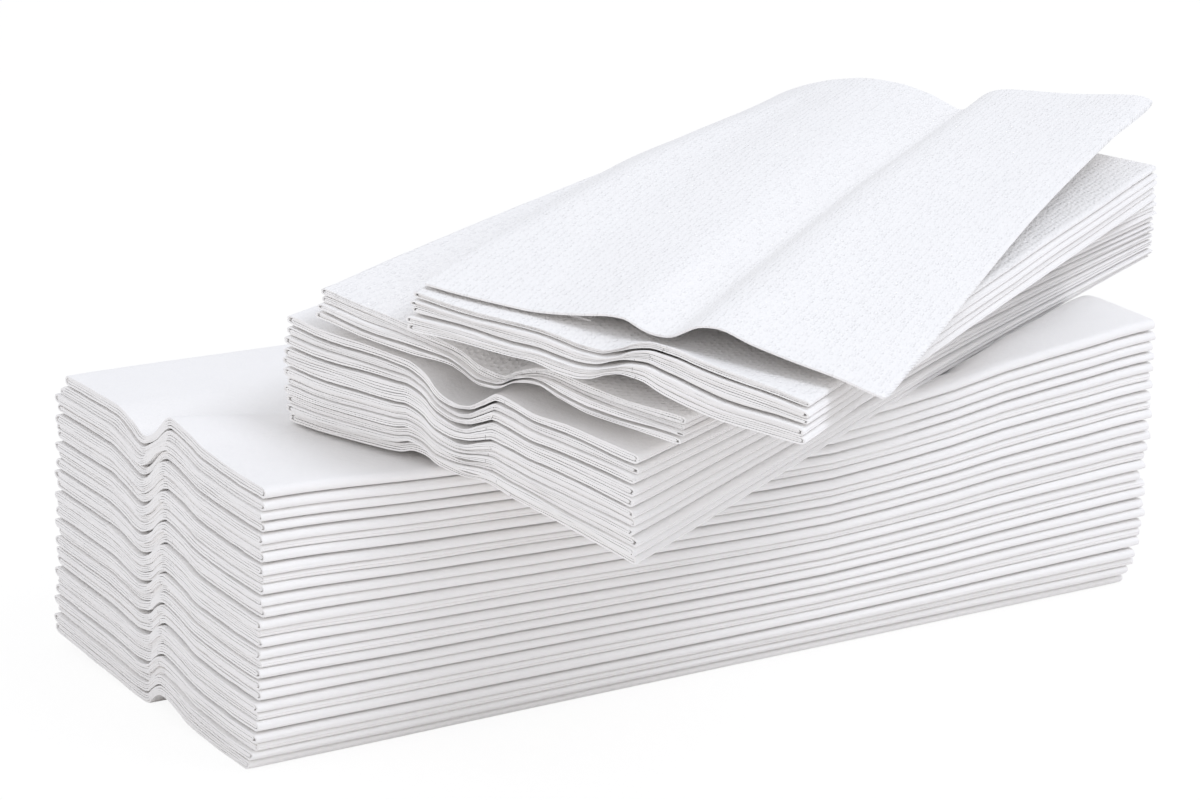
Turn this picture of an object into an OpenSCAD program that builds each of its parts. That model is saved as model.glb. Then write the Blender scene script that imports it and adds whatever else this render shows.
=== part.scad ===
// A heap of c-fold paper towels: a pressed lower stack and a looser upper stack fanned askew on it.
// Every folded towel is one solid with its own slit, rounded folds and free edges.
// X runs along the folds, -Y is the front, and the origin is the bottom centre of the heap's box.

/* [Folded towel] */
// Length of a folded towel, along its folds
towel_length = 257; // [225:1:280]
// Width of a folded towel, from fold to fold
towel_width = 95; // [88:1:105]
// Thickness of one layer of soft embossed sheet, as it lies in the lower stack
layer = 1.2; // [0.9:0.05:1.6]
// Slit between the back panel and the flaps folded over it
slit = 0.15; // [0.1:0.05:0.4]
// Air between one towel and the next
towel_gap = 0.04; // [0.02:0.01:0.1]
// Width of the flap folded in from the back
back_flap = 40; // [34:1:42]
// Width of the flap folded in from the front
front_flap = 43; // [36:1:45]
// How far a rounded fold reaches in from its edge
fold_round = 1.4; // [0.8:0.1:2.5]

/* [Bend where the flaps meet] */
// Distance over which a towel bends down towards the end of its back flap
bend_run = 15; // [8:1:20]
// Distance over which it comes down again after the end of its front flap
bump_run = 15; // [8:1:20]
// Depth of the dip at the lower stack's cut end
dip_depth = 3.8; // [0:0.2:5]
// Height of the bump beside it
bump_height = 4.2; // [0:0.2:6]
// Length over which dip and bump fade from the cut end of the lower stack
bend_fade = 45; // [30:1:60]
// Share of the dip and bump at the other cut end
right_bend = 0.5; // [0:0.1:1]
// Share of the dip's depth that is reached halfway down to it
dip_ease = 0.42; // [0.2:0.02:0.6]
// Share of the bump's height that is left halfway down from it
bump_ease = 0.72; // [0.5:0.02:0.9]
// Share of the bump's height that is left at the end of its run
bump_tail = 0.3; // [0:0.05:0.5]

/* [Lower stack] */
// Number of towels in the lower stack
lower_count = 27; // [20:1:30]
// How far the stack's top leans to the front
lean = 6; // [0:0.5:10]
// How far the weight on it presses down the front top edge
press = 8.5; // [0:0.5:12]
// Share of that at the back top edge
back_press = 0.35; // [0:0.05:1]
// Where along its length the stack is pressed most, as a share
press_place = 0.7; // [0.5:0.05:0.8]
// Share of the press that is felt where the bend has faded out
press_start = 0.3; // [0:0.05:0.6]
// Depth of the dent that the upper stack makes in the middle of the right top edge
end_dent = 4.6; // [0:0.2:6]
// How far the back left corner of the lowest towels curls up
corner_curl = 3; // [0:0.5:5]
// How far the right end of the lowest towel lies back
end_recess = 1; // [0:0.5:6]
// How unevenly the towels' ends and folds line up
scatter = 0.45; // [0:0.05:1]

/* [Upper stack] */
// Number of towels in the upper, middle and top group of the fan
group_count = [11, 4, 5]; // [3:1:12]
// Turn of each group from the lower stack, in degrees
group_yaw = [24.1, 26.5, 33]; // [15:0.5:36]
// Place where the right front corners of the fanned towels meet, from the lower stack's centre
fan_corner = [172.5, 3.4]; // [0:0.5:180]
// Thickness of each group at its back left corner
back_left_bulk = [26.6, 7.2, 7.4]; // [5:0.2:32]
// Thickness of each group at its front left corner
front_left_bulk = [24.2, 10.2, 8.6]; // [5:0.2:32]
// Thickness of each group at its front right corner
front_right_bulk = [9.6, 5.4, 9.6]; // [4:0.2:20]
// Thickness of each group at its back right corner
back_right_bulk = [15.4, 6.4, 6]; // [4:0.2:24]
// How far each group's back edge swells up between its ends
back_swell = [3, 4.5, 3]; // [0:0.5:6]
// Air under each group at its back left corner
back_left_air = [0.8, 3.2, 0.6]; // [0.2:0.1:8]
// Air under each group at its front left corner
front_left_air = [0.7, 6.2, 0.5]; // [0.2:0.1:8]
// Air under each group at its right end
right_air = [3.2, 0.3, 0.3]; // [0.2:0.1:4]
// How far the dip and bump of each group lie further forward than in the lower stack
bend_shift = [8, 6, 0]; // [-4:0.5:10]
// Share of the lower stack's dip at the cut end of each group
group_dip = [0.95, 0.6, 1]; // [0:0.05:1.2]
// Share of the lower stack's bump at the cut end of each group
group_bump = [0.8, 0.4, 0.2]; // [0:0.05:1.2]
// Share of its bend that the underside of the upper group keeps on the lower stack
under_bend = 0.5; // [0.3:0.1:1]
// Height of the arch in each group's underside, at its cut end
under_arch = [0, 0.8, 4]; // [0:0.1:5]
// Height of the arch in each group's top, at its cut end
top_arch = [0.7, -3.6, 4.5]; // [-4:0.1:5]
// How far the arch of each group lies to the front, as a power
arch_power = [1, 0.8, 1.8]; // [0.6:0.1:2]
// How far the front left corner droops where nothing is under it
droop = 10; // [0:0.5:14]

/* [Open towel] */
// Turn of the half-open top towel, in degrees
open_yaw = 38; // [30:0.5:42]
// Its back left corner, from that of the group under it
open_offset = [5, 3]; // [-10:0.5:10]
// Thickness of its sheet
open_sheet = 1; // [0.6:0.1:1.4]
// Room in its back fold, over the slit between two layers
fold_room = 0.1; // [0.1:0.1:1]
// Width of its raised panel
open_width = 111; // [100:1:118]
// Distance of the crease from the back fold
crease_place = 58; // [50:1:64]
// Height of the crease over the group under it, at the left and at the right end
crease_height = [3.8, 0.6]; // [0.2:0.2:6]
// Height of the hump behind the crease, at the left and at the right end
back_hump = [1.6, 2]; // [0.5:0.1:12]
// Height of the hump in front of the crease, at the left and at the right end
front_hump = [6, 5]; // [0.5:0.1:8]
// How far the back fold droops where it overhangs the group under it by the droop's reach
back_droop = 7; // [0:0.5:10]
// Air between the back flap and the group under it
flap_air = 0.4; // [0.2:0.05:1]
// How far the front hump lies towards the crease, as a power
front_hump_lean = 0.55; // [0.4:0.05:1]
// Height of the front edge, at the left and at the right end
edge_height = [0.2, 13]; // [0:0.2:15]
// Width of the flap still folded under its back
open_back_flap = 38; // [30:1:42]
// Width of the flap still folded under its front
open_front_flap = 30; // [20:1:36]

/* [Hidden] */
// Shares of the towel's thickness taken by the flaps and by the back panel
towel_t = 2 * layer + slit;
flap_share = layer / towel_t;
panel_share = 1 - flap_share;
pitch = towel_t + towel_gap;
stack_height = lower_count * pitch;
half_l = towel_length / 2;
half_w = towel_width / 2;
// Places of the dip and the bump across a towel, from its back fold
dip_at = back_flap;
bump_at = towel_width - front_flap;
fade_stations = [0, bend_fade, press_place * towel_length, towel_length];
// Stations along a fanned towel, as shares of its length
fan_stations = [0, 0.12, 0.56, 1];
fan_fade = [[0, 1], [0.12, 0.35], [0.56, 0], [1, 0]];
fan_swell = [[0, 0], [0.12, 0.3], [0.56, 1], [1, 0]];
// Rate at which a stiff towel droops beyond the edge that carries it
droop_power = 1.5;
droop_reach = 54;
back_droop_reach = 20;
// Turns that keep the uneven places of folds, ends and groups apart
golden_turn = 137.5;
fold_turn = 0;
left_turn = 40;
right_turn = 80;
group_turn = 120;

function two_digits(n) = n < 10 ? str("0", n) : str(n);
GROUPS = ["upper", "middle", "top"];
function fan_name(g, k) = str(GROUPS[g], "_towel_", two_digits(k));
LOWER_NAMES = [for (k = [1 : lower_count]) str("lower_towel_", two_digits(k))];
FAN_NAMES = [for (g = [0 : 2]) for (k = [1 : group_count[g]]) fan_name(g, k)];

// Height of the dip and bump over a flat towel, at a place across it
function bend(v, shift) = lookup(v - shift, [
    [dip_at - bend_run, 0],
    [dip_at - bend_run / 2, -dip_ease * dip_depth],
    [dip_at, -dip_depth],
    [bump_at, bump_height],
    [bump_at + bump_run / 2, bump_ease * bump_height],
    [bump_at + bump_run, bump_tail * bump_height],
    [towel_width - 2 * fold_round - shift, 0]
]);

// Outline of a folded towel: places across it, and heights as shares of its thickness.
// It runs over the back panel, round the front fold, under the front flap, back through the slit,
// under the back flap and round the back fold. The front fold stands out by proud.
function towel_outline(shift, proud) =
    let (
        r = fold_round,
        w = towel_width,
        bend_start = dip_at - bend_run + shift,
        half_bend = dip_at - bend_run / 2 + shift,
        dip = dip_at + shift,
        bump = bump_at + shift,
        half_bump = bump_at + bump_run / 2 + shift,
        bump_end = bump_at + bump_run + shift
    ) [
        [r, 1], [bend_start, 1], [half_bend, 1], [dip, 1],
        [bump, 1], [half_bump, 1], [bump_end, 1], [w - r, 1],
        [w + proud, 0.7], [w + proud, 0.3],
        [w - r, 0], [bump_end, 0], [half_bump, 0], [bump, 0],
        [bump, flap_share], [bump_end, flap_share], [w - 1.5 * r, 0.5],
        [bump_end, panel_share], [bump, panel_share], [dip, panel_share], [bend_start, panel_share],
        [1.5 * r, 0.5], [bend_start, flap_share], [dip, flap_share],
        [dip, 0], [half_bend, 0], [bend_start, 0], [r, 0],
        [-proud, 0.3], [-proud, 0.7]
    ];

// Indices from first to last, upwards or downwards
function run(first, last) = [for (i = [first : last < first ? -1 : 1 : last]) i];
// Triangles between two paths of an outline, which both run to the front, a above b. Each step takes
// the next point of the path that has less far to go.
function strip(outline, a, b, i = 0, j = 0) =
    let (
        a_ends = i == len(a) - 1,
        b_ends = j == len(b) - 1,
        a_steps = !a_ends && (b_ends || outline[a[i + 1]][0] <= outline[b[j + 1]][0])
    )
    a_ends && b_ends ? []
    : a_steps ? concat([[a[i], a[i + 1], b[j]]], strip(outline, a, b, i + 1, j))
    : concat([[a[i], b[j + 1], b[j]]], strip(outline, a, b, i, j + 1));
// Pairs of paths that fill the outline of a folded towel: its back panel, its front and back flaps,
// and the turns of its front and back folds round the ends of the slit
TOWEL_STRIPS = [
    [run(0, 7), run(21, 16)],
    [run(14, 16), run(13, 10)],
    [run(21, 23), run(27, 24)],
    [run(7, 10), [16]],
    [[27, 28, 29, 0], [21]]
];

// Solid through rings of points. The seam of each face follows the way its outline runs across the
// towel, so that the faces of two towels that lie on each other match. The strips close its ends.
module loft(rings, outline, strips) {
    n = len(outline);
    m = len(rings);
    points = [for (ring = rings) each ring];
    sides = [
        for (j = [0 : m - 2])
            for (i = [0 : n - 1])
                let (
                    a = j * n + i,
                    b = j * n + (i + 1) % n,
                    c = b + n,
                    d = a + n,
                    forward = outline[(i + 1) % n][0] >= outline[i][0]
                )
                each (forward ? [[a, c, b], [a, d, c]] : [[a, d, b], [b, d, c]])
    ];
    left_end = [for (s = strips) each strip(outline, s[0], s[1])];
    last_ring = (m - 1) * n;
    right_end = [for (t = left_end) [t[0] + last_ring, t[2] + last_ring, t[1] + last_ring]];
    polyhedron(points = points, faces = concat(sides, left_end, right_end), convexity = 10);
}

// Lower stack: height of the surface at a share h of the stack, x along and v across it
function left_share(x) = max(1 - x / bend_fade, 0);
function right_share(x) = max((x - fade_stations[2]) / (towel_length - fade_stations[2]), 0);
function press_at(x) = lookup(x, [
    [0, 0], [bend_fade, press_start], [fade_stations[2], 1], [towel_length, 0]
]);
function lower_surface(x, v, h) =
    let (
        wave = bend(v, 0),
        left_wave = left_share(x) * (wave < 0 ? wave * h : wave),
        right_wave = right_bend * right_share(x) * (1 - h) * (wave < 0 ? wave * h : wave),
        curl = corner_curl * max(left_share(x), right_bend * right_share(x)) * max(1 - v / dip_at, 0),
        sag = press * press_at(x) * (back_press + (1 - back_press) * v / towel_width),
        dent = end_dent * right_share(x) * sin(180 * v / towel_width)
    )
    h * (stack_height - sag - dent) + left_wave + right_wave + (1 - h) * curl;

function uneven(k, turn) = scatter * sin(k * golden_turn + turn);
function lower_point(k, x, v, share) =
    let (
        floor_z = lower_surface(x, v, (k - 1) / lower_count) + (k == 1 ? 0 : towel_gap / 2),
        ceiling_z = lower_surface(x, v, k / lower_count) - towel_gap / 2,
        z = floor_z + share * (ceiling_z - floor_z)
    )
    [x - half_l, half_w - v - lean * (z / stack_height - 0.5), z];

function lower_outline(k) = towel_outline(0, uneven(k, fold_turn) / 2);
function lower_rings(k) = [
    for (x = [
        uneven(k, left_turn), fade_stations[1], fade_stations[2],
        towel_length - end_recess * pow(1 - k / lower_count, 2) + uneven(k, right_turn)
    ]) [for (p = lower_outline(k)) lower_point(k, x, p[0], p[1])]
];
module lower_towel(k) {
    color([0.95, 0.95, 0.96]) translate(box_shift)
        loft(lower_rings(k), lower_outline(k), TOWEL_STRIPS);
}

// Upper stack: directions along and across a group, and the place of a point in the plan
function along(yaw) = [cos(yaw), sin(yaw)];
function across(yaw) = [sin(yaw), -cos(yaw)];
function fan_place(yaw, s, v) =
    fan_corner - (1 - s) * towel_length * along(yaw) - (towel_width - v) * across(yaw);
// The share along and the distance across a group at which a place in the plan lies
function share_along(yaw, place) = 1 + (place - fan_corner) * along(yaw) / towel_length;
function dist_across(yaw, place) = towel_width + (place - fan_corner) * across(yaw);
// A value between four corners: back left, front left, front right, back right
function between(corners, s, u) =
    (1 - s) * ((1 - u) * corners[0] + u * corners[1]) + s * (u * corners[2] + (1 - u) * corners[3]);

// What the upper stack rests on: the lower stack's top, and the droop in front of it
function rest_height(place) =
    let (
        x = min(max(place[0] + half_l, 0), towel_length),
        front = -half_w - lean / 2,
        v = min(max(half_w - lean / 2 - place[1], 0), towel_width),
        beyond = max(front - place[1], 0)
    )
    lower_surface(x, v, 1) - droop * pow(beyond / droop_reach, droop_power);

corner_shares = [[0, 0], [0, towel_width], [1, towel_width], [1, 0]];
function corner_places(g) = [for (c = corner_shares) fan_place(group_yaw[g], c[0], c[1])];
function air(g) = [back_left_air[g], front_left_air[g], right_air[g], right_air[g]];
function bulk(g) = [back_left_bulk[g], front_left_bulk[g], front_right_bulk[g], back_right_bulk[g]];
// The swell of a group's back edge: none at its ends or at its front
function swell(g, s, v) = g < 0 ? 0
    : back_swell[g] * lookup(s, fan_swell) * (1 - min(max(v / towel_width, 0), 1));
// Height of a group's flat top over a place, without its bend
function flat_top(g, place) =
    let (
        s = share_along(group_yaw[g], place),
        v = dist_across(group_yaw[g], place)
    )
    between(top_corners(g), s, v / towel_width) + swell(g, s, v);
function under_corners(g) = [
    for (i = [0 : 3])
        air(g)[i] + (g == 0 ? rest_height(corner_places(g)[i]) : flat_top(g - 1, corner_places(g)[i]))
];
function top_corners(g) = under_corners(g) + bulk(g);

function arch(g, u) = sin(180 * pow(min(max(u, 0), 1), arch_power[g]));
function group_wave(g, s, v, h) =
    let (
        wave = bend(v, bend_shift[g]),
        strength = g == 0 ? under_bend + (1 - under_bend) * h : 1,
        rise = (1 - h) * under_arch[g] + h * top_arch[g]
    )
    lookup(s, fan_fade)
        * (strength * wave * (wave < 0 ? group_dip[g] : group_bump[g]) + rise * arch(g, v / towel_width));
TOPS = [for (g = [0 : 2]) top_corners(g)];
UNDERS = [for (g = [0 : 2]) under_corners(g)];
function group_surface(g, s, v, h) =
    let (
        u = v / towel_width,
        under = g == 0
            ? rest_height(fan_place(group_yaw[0], s, v)) + between(air(0), s, u)
            : between(UNDERS[g], s, u) + swell(g - 1, s, v)
    )
    (1 - h) * under + h * (between(TOPS[g], s, u) + swell(g, s, v)) + group_wave(g, s, v, h);

function fan_point(g, k, s, v, share) =
    let (
        n = group_count[g],
        floor_z = group_surface(g, s, v, (k - 1) / n) + towel_gap / 2,
        ceiling_z = group_surface(g, s, v, k / n) - towel_gap / 2,
        place = fan_place(group_yaw[g], s, v)
    )
    [place[0], place[1], floor_z + share * (ceiling_z - floor_z)];
function fan_outline(g, k) =
    towel_outline(bend_shift[g], (uneven(k, fold_turn + group_turn * g) - scatter) / 2);
function fan_rings(g, k) = [
    for (s = [
        uneven(k, left_turn + g) / towel_length, fan_stations[1], fan_stations[2],
        1 - (scatter + uneven(k, right_turn + g)) / towel_length
    ]) [for (p = fan_outline(g, k)) fan_point(g, k, s, p[0], p[1])]
];

module fan_towel(g, k) {
    color([0.96, 0.96, 0.97]) translate(box_shift)
        loft(fan_rings(g, k), fan_outline(g, k), TOWEL_STRIPS);
}

// Open towel: its back flap lies on the top group, and its panel rises over it in two humps
open_back_left = corner_places(2)[0] + open_offset;
open_front = open_width - crease_place;
function open_place(s, v) =
    open_back_left + s * towel_length * along(open_yaw) + v * across(open_yaw);
function flat_rest(place) = flat_top(2, place);
function bent_rest(place) =
    let (
        s = min(max(share_along(group_yaw[2], place), 0), 1),
        v = min(max(dist_across(group_yaw[2], place), 0), towel_width)
    )
    flat_rest(place) + group_wave(2, s, v, 1) + flap_air;

// Height of the panel's underside over the flat top of the group, at one end: 0 left, 1 right
function panel_rise(end, v) = v < crease_place
    ? let (p = v / crease_place)
        (1 - p) * (open_sheet + slit + flap_air + fold_room) + p * crease_height[end]
            + back_hump[end] * sin(180 * p)
    : let (q = (v - crease_place) / open_front)
        (1 - q) * crease_height[end] + q * edge_height[end]
            + front_hump[end] * sin(180 * pow(q, front_hump_lean));
function back_sag(place) =
    back_droop * pow(max(-dist_across(group_yaw[2], place), 0) / back_droop_reach, droop_power);
function panel_height(s, v) =
    flat_rest(open_place(s, v)) + (1 - s) * panel_rise(0, v) + s * panel_rise(1, v)
        - back_sag(open_place(s, v));

open_stations = [0, 0.12, 0.35, 0.56, 0.78, 1];
back_shares = [0.03, 0.17, 0.34, 0.5, 0.66, 0.83, 0.94, 1];
front_shares = [0.06, 0.16, 0.3, 0.46, 0.64, 0.82, 0.97];
panel_places = concat(
    [for (p = back_shares) p * crease_place],
    [for (q = front_shares) crease_place + q * open_front]
);
reversed_places = [for (i = [len(panel_places) - 1 : -1 : 0]) panel_places[i]];
back_flap_places = [for (p = [0.05, 0.25, 0.5, 0.75, 1]) p * open_back_flap];
front_flap_places = [for (p = [0.06, 0.35, 0.65, 1]) open_width - p * open_front_flap];

// Outline of the open towel: places across it, and which of its faces each one lies on
PANEL_TOP = 0;
PANEL_UNDER = 1;
FRONT_FLAP_UNDER = 2;
FRONT_FLAP_TOP = 3;
BACK_FLAP_TOP = 4;
BACK_FLAP_UNDER = 5;
OPEN_OUTLINE = concat(
    [for (v = panel_places) [v, PANEL_TOP]],
    [[open_width, PANEL_UNDER]],
    [for (v = front_flap_places) [v, FRONT_FLAP_UNDER]],
    [for (i = [len(front_flap_places) - 1 : -1 : 0]) [front_flap_places[i], FRONT_FLAP_TOP]],
    [for (v = reversed_places) [v, PANEL_UNDER]],
    [for (v = back_flap_places) [v, BACK_FLAP_TOP]],
    [for (i = [len(back_flap_places) - 1 : -1 : 0]) [back_flap_places[i], BACK_FLAP_UNDER]],
    [[0, BACK_FLAP_TOP]]
);
// Where each path of that outline begins: the front fold, the two faces of the front flap, the
// panel's underside, the two faces of the back flap and the back fold
front_turn = len(panel_places);
front_under = front_turn + 1;
front_top = front_under + len(front_flap_places);
panel_under = front_top + len(front_flap_places);
back_top = panel_under + len(panel_places);
back_under = back_top + len(back_flap_places);
back_turn = back_under + len(back_flap_places);
OPEN_STRIPS = [
    [run(0, front_turn - 1), run(back_top - 1, panel_under)],
    [run(front_top, panel_under - 1), run(front_top - 1, front_under)],
    [run(back_top, back_under - 1), run(back_turn - 1, back_under)],
    [[front_turn], [front_turn - 1, panel_under, panel_under - 1, front_under]],
    [[back_turn], [back_turn - 1, back_top, back_top - 1, 0]]
];
function open_height(s, v, face) =
    let (
        panel = panel_height(s, v),
        rest = bent_rest(open_place(s, v)) - back_sag(open_place(s, v))
    )
    face == PANEL_TOP ? panel + open_sheet
    : face == PANEL_UNDER ? panel
    : face == FRONT_FLAP_TOP ? panel - slit
    : face == FRONT_FLAP_UNDER ? panel - slit - open_sheet
    : face == BACK_FLAP_TOP ? rest + open_sheet
    : rest;
OPEN_RINGS = [
    for (s = open_stations) [
        for (p = OPEN_OUTLINE)
            let (place = open_place(s, p[0]))
            [place[0], place[1], open_height(s, p[0], p[1])]
    ]
];
module open_towel() {
    color([0.97, 0.97, 0.98]) translate(box_shift) loft(OPEN_RINGS, OPEN_OUTLINE, OPEN_STRIPS);
}

// The origin is the bottom centre of the box that the whole heap fills
ALL_POINTS = concat(
    [for (k = [1 : lower_count]) each [for (ring = lower_rings(k)) each ring]],
    [for (g = [0 : 2]) for (k = [1 : group_count[g]]) each [for (ring = fan_rings(g, k)) each ring]],
    [for (ring = OPEN_RINGS) each ring]
);
function box_middle(axis) =
    let (values = [for (p = ALL_POINTS) p[axis]])
    (min(values) + max(values)) / 2;
box_shift = [-box_middle(0), -box_middle(1), 0];

for (k = [1 : lower_count])
    lower_towel(k);
for (g = [0 : 2])
    for (k = [1 : group_count[g]])
        fan_towel(g, k);
open_towel();
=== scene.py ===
# %% [markdown]
# # A heap of c-fold paper towels
# The heap is 48 towels of soft white paper: a pressed stack, a looser stack fanned askew on it, and one
# half-open towel on top. Every towel is one sheet, folded like a letter C: its two side flaps lie under
# its back panel, and their free edges almost meet in the middle. Here each towel is drawn as a flat
# grid, wrapped round its folded path, thickened with a modifier and dressed in procedural paper.

# %% The frame
import math

import bpy
import numpy as np
from mathutils import Matrix, Vector


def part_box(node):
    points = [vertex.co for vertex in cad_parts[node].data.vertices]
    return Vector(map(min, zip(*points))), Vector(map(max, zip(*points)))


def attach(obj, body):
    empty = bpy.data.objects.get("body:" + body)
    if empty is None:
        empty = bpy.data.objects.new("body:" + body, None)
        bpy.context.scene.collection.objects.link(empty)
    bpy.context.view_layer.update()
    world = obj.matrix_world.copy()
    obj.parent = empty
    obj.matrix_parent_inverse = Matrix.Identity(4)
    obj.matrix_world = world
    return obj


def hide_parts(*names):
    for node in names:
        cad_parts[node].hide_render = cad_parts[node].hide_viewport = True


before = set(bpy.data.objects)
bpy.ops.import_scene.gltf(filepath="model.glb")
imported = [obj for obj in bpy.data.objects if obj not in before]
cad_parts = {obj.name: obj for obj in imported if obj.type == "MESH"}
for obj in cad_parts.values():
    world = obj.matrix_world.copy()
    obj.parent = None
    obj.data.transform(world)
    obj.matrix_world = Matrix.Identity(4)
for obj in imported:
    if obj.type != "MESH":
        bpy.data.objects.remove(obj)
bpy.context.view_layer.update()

print("nodes in the frame:", len(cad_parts))

# %% [markdown]
# ## Sizes
# A c-fold towel is sold folded to about 257 mm. Its width and its thickness were measured against that
# length in the photo. The sizes could be typed in where they are used, but each is named once here, so
# that one change goes through the whole heap. All of them are in millimetres and are turned into metres
# when a mesh is made. X runs along the folds, v runs across a towel from its back fold to its front fold,
# and a share says how high a point lies between the underside (0) and the top (1) of a towel or a stack.

# %% Sizes of one towel
MM = 0.001
LENGTH = 257.0
WIDTH = 95.0
# Height of one towel in the lower stack, before it sags
PITCH = 2.59
FRONT_FLAP = 43.0
FLAP_GAP = 0.15
BUMP_AT = WIDTH - FRONT_FLAP
DIP_AT = 40.0
PLY = 0.63
# Half of the least gap between two towels
SKIN = 0.02
# How far a ply lies from the middle of its towel, as a share of the towel's height
OUTER_LEVEL = 0.375
INNER_LEVEL = 0.125
print("sheet width:", round(2 * WIDTH - FLAP_GAP, 1), "mm, folded width:", WIDTH, "mm")


# %% [markdown]
# ## Curves
# Paper bends in smooth curves that never swing past the places that it is held at. Blender's own curve
# objects could draw them, but many thousand points have to read their height from them, so they are
# functions: a monotone cubic through a few knots. Small random wander, the same at each run, keeps the
# folds from looking machined.

# %% Smooth curves and wander
def smooth_curve(x, knots):
    """Height at x of a smooth curve through the knots, which doesn't overshoot between them."""
    kx, ky = np.array(knots, float).T
    step = np.diff(kx)
    rise = np.diff(ky) / step
    slope = np.zeros(len(kx))
    same = rise[:-1] * rise[1:] > 0
    slope[1:-1][same] = (2 * rise[:-1] * rise[1:])[same] / (rise[:-1] + rise[1:])[same]
    i = np.clip(np.searchsorted(kx, x) - 1, 0, len(step) - 1)
    t = np.clip((x - kx[i]) / step[i], 0, 1)
    ends = (1 + 2 * t) * (1 - t) ** 2 * ky[i] + t * t * (3 - 2 * t) * ky[i + 1]
    return ends + step[i] * t * (1 - t) * ((1 - t) * slope[i] - t * slope[i + 1])


def wander(t, step, seed):
    """A smooth random curve between -1 and 1 along t, with a new value every step."""
    values = np.random.default_rng(seed).uniform(-1, 1, 512)
    k = np.asarray(t, float) / step + 128
    i = np.floor(k).astype(int)
    f = k - i
    f = f * f * (3 - 2 * f)
    return values[i % 512] * (1 - f) + values[(i + 1) % 512] * f


def near(distance, reach):
    """1 at an edge, fading to 0 further in than reach."""
    return np.exp(-((distance / reach) ** 2))


print("halfway up a curve from 0 to 1:", round(float(smooth_curve(0.5, [[0, 0], [1, 1]])), 3))

# %% [markdown]
# ## The bend where the flaps meet
# Near its cut end a pile of c-fold towels has a dip and a bump where the flaps' free edges meet, because
# there is less paper there. It could be sculpted into each towel, but the same bend runs through every
# towel of a stack, which is why they nest, so here it is one curve that all of them read. The sheets are
# stiff along their folds, so the bend fades within a few centimetres.

# %% The bend
BEND_RUN = 15.0
BUMP_RUN = 15.0
DIP = 3.8
BUMP = 4.2
BEND_FADE = 45.0


def bend(v):
    """Height of the dip and the bump at a place across a towel."""
    return smooth_curve(v, [
        [DIP_AT - BEND_RUN, 0], [DIP_AT - 0.5 * BEND_RUN, -0.42 * DIP], [DIP_AT, -DIP],
        [BUMP_AT, BUMP], [BUMP_AT + 0.5 * BUMP_RUN, 0.72 * BUMP], [BUMP_AT + BUMP_RUN, 0.3 * BUMP],
        [WIDTH - 3, 0],
    ])


def left_share(x):
    """How much of the bend is left at a distance from the left cut end."""
    return smooth_curve(x, [[0, 1], [12, 0.72], [28, 0.34], [BEND_FADE, 0.06], [1.4 * BEND_FADE, 0]])


print("bend at the dip and at the bump:", bend(np.array([DIP_AT, BUMP_AT])), "mm")

# %% [markdown]
# ## The lower stack's shape
# The upper towels press the stack down, most at its front and right of its middle. Its folds don't stand
# straight over each other, its lowest back corners curl up, and its right front part, which nothing lies
# on, springs up. Each of these could be a deformer on the finished stack. Here they are added to one
# height, that of the surface at any share of the stack, so that no towel can cut into its neighbour.

# %% The lower stack's surfaces
LOWER_BUNDLES = [1, 3, 3, 2, 3, 3, 2, 3, 3, 1, 2, 1]
LOWER_COUNT = sum(LOWER_BUNDLES)
STACK = LOWER_COUNT * PITCH
RIGHT_BEND = 0.5
# How deep the stack is pressed, the share of that at its back, and the place where it is deepest
PRESS = 8.5
BACK_PRESS = 0.35
PRESS_PLACE = 0.7 * LENGTH
END_DENT = 4.6
CORNER_CURL = 3.0
# How much the free part springs up: where it starts, its width for each millimetre along, and its height
SPRING_START = 178.5
SPRING_SLOPE = 0.447
SPRING_SET_BACK = 1.5
SPRING_LEAST = 4.0
SPRING_DROP = 10
SPRING = [[150, 0], [166, 0.8], [178, 2.1], [195, 3.2], [208, 3.6], [239, 2.0], [257, 2.2]]


def right_share(x):
    """0 where the stack is pressed deepest, rising to 1 at its right cut end."""
    return np.clip((x - PRESS_PLACE) / (LENGTH - PRESS_PLACE), 0, 1)


def right_dent(x, v):
    """How far the right cut end sags between its two folds."""
    return END_DENT * right_share(x) * np.sin(np.pi * np.clip(v / WIDTH, 0, 1))


def pressed_surface(x, v, h):
    """Height of the surface at a share h of the lower stack, with weight on all of it."""
    wave = bend(v)
    wave = np.where(wave < 0, wave * h, wave)
    curl = CORNER_CURL * np.maximum(left_share(x), RIGHT_BEND * right_share(x))
    curl = curl * np.clip(1 - v / DIP_AT, 0, 1)
    pressed = smooth_curve(x, [[0, 0], [BEND_FADE, 0.3], [PRESS_PLACE, 1], [LENGTH, 0]])
    sag = PRESS * pressed * (BACK_PRESS + (1 - BACK_PRESS) * v / WIDTH)
    right_wave = RIGHT_BEND * right_share(x) * (1 - h)
    return h * (STACK - sag - right_dent(x, v)) + (left_share(x) + right_wave) * wave + (1 - h) * curl


def lower_surface(x, v, h):
    """Height of the surface at a share h of the lower stack, with its free part sprung up."""
    fan_edge = np.maximum(SPRING_SLOPE * (x - SPRING_START) - SPRING_SET_BACK, SPRING_LEAST)
    back = np.clip((WIDTH - v) / fan_edge, 0, 1)
    free = smooth_curve(x, SPRING) + right_dent(x, v)
    return pressed_surface(x, v, h) + h * free * (1 - back ** SPRING_DROP)


print("lower stack:", LOWER_COUNT, "towels,", round(STACK, 1), "mm high")

# %% [markdown]
# ## Where the lower stack stands
# The front and the back folds form two walls that lean and curve a little, because towels slide over each
# other. Each towel could get its own offset by hand, but two curves up the stack say the same with fewer
# numbers, and one more curve steps the right cut ends in and out. The stack's place comes from the frame,
# so the paper stands where its solids stand.

# %% Place of the lower stack
# How far the walls lean to the front in all
LEAN = 6.0
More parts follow.
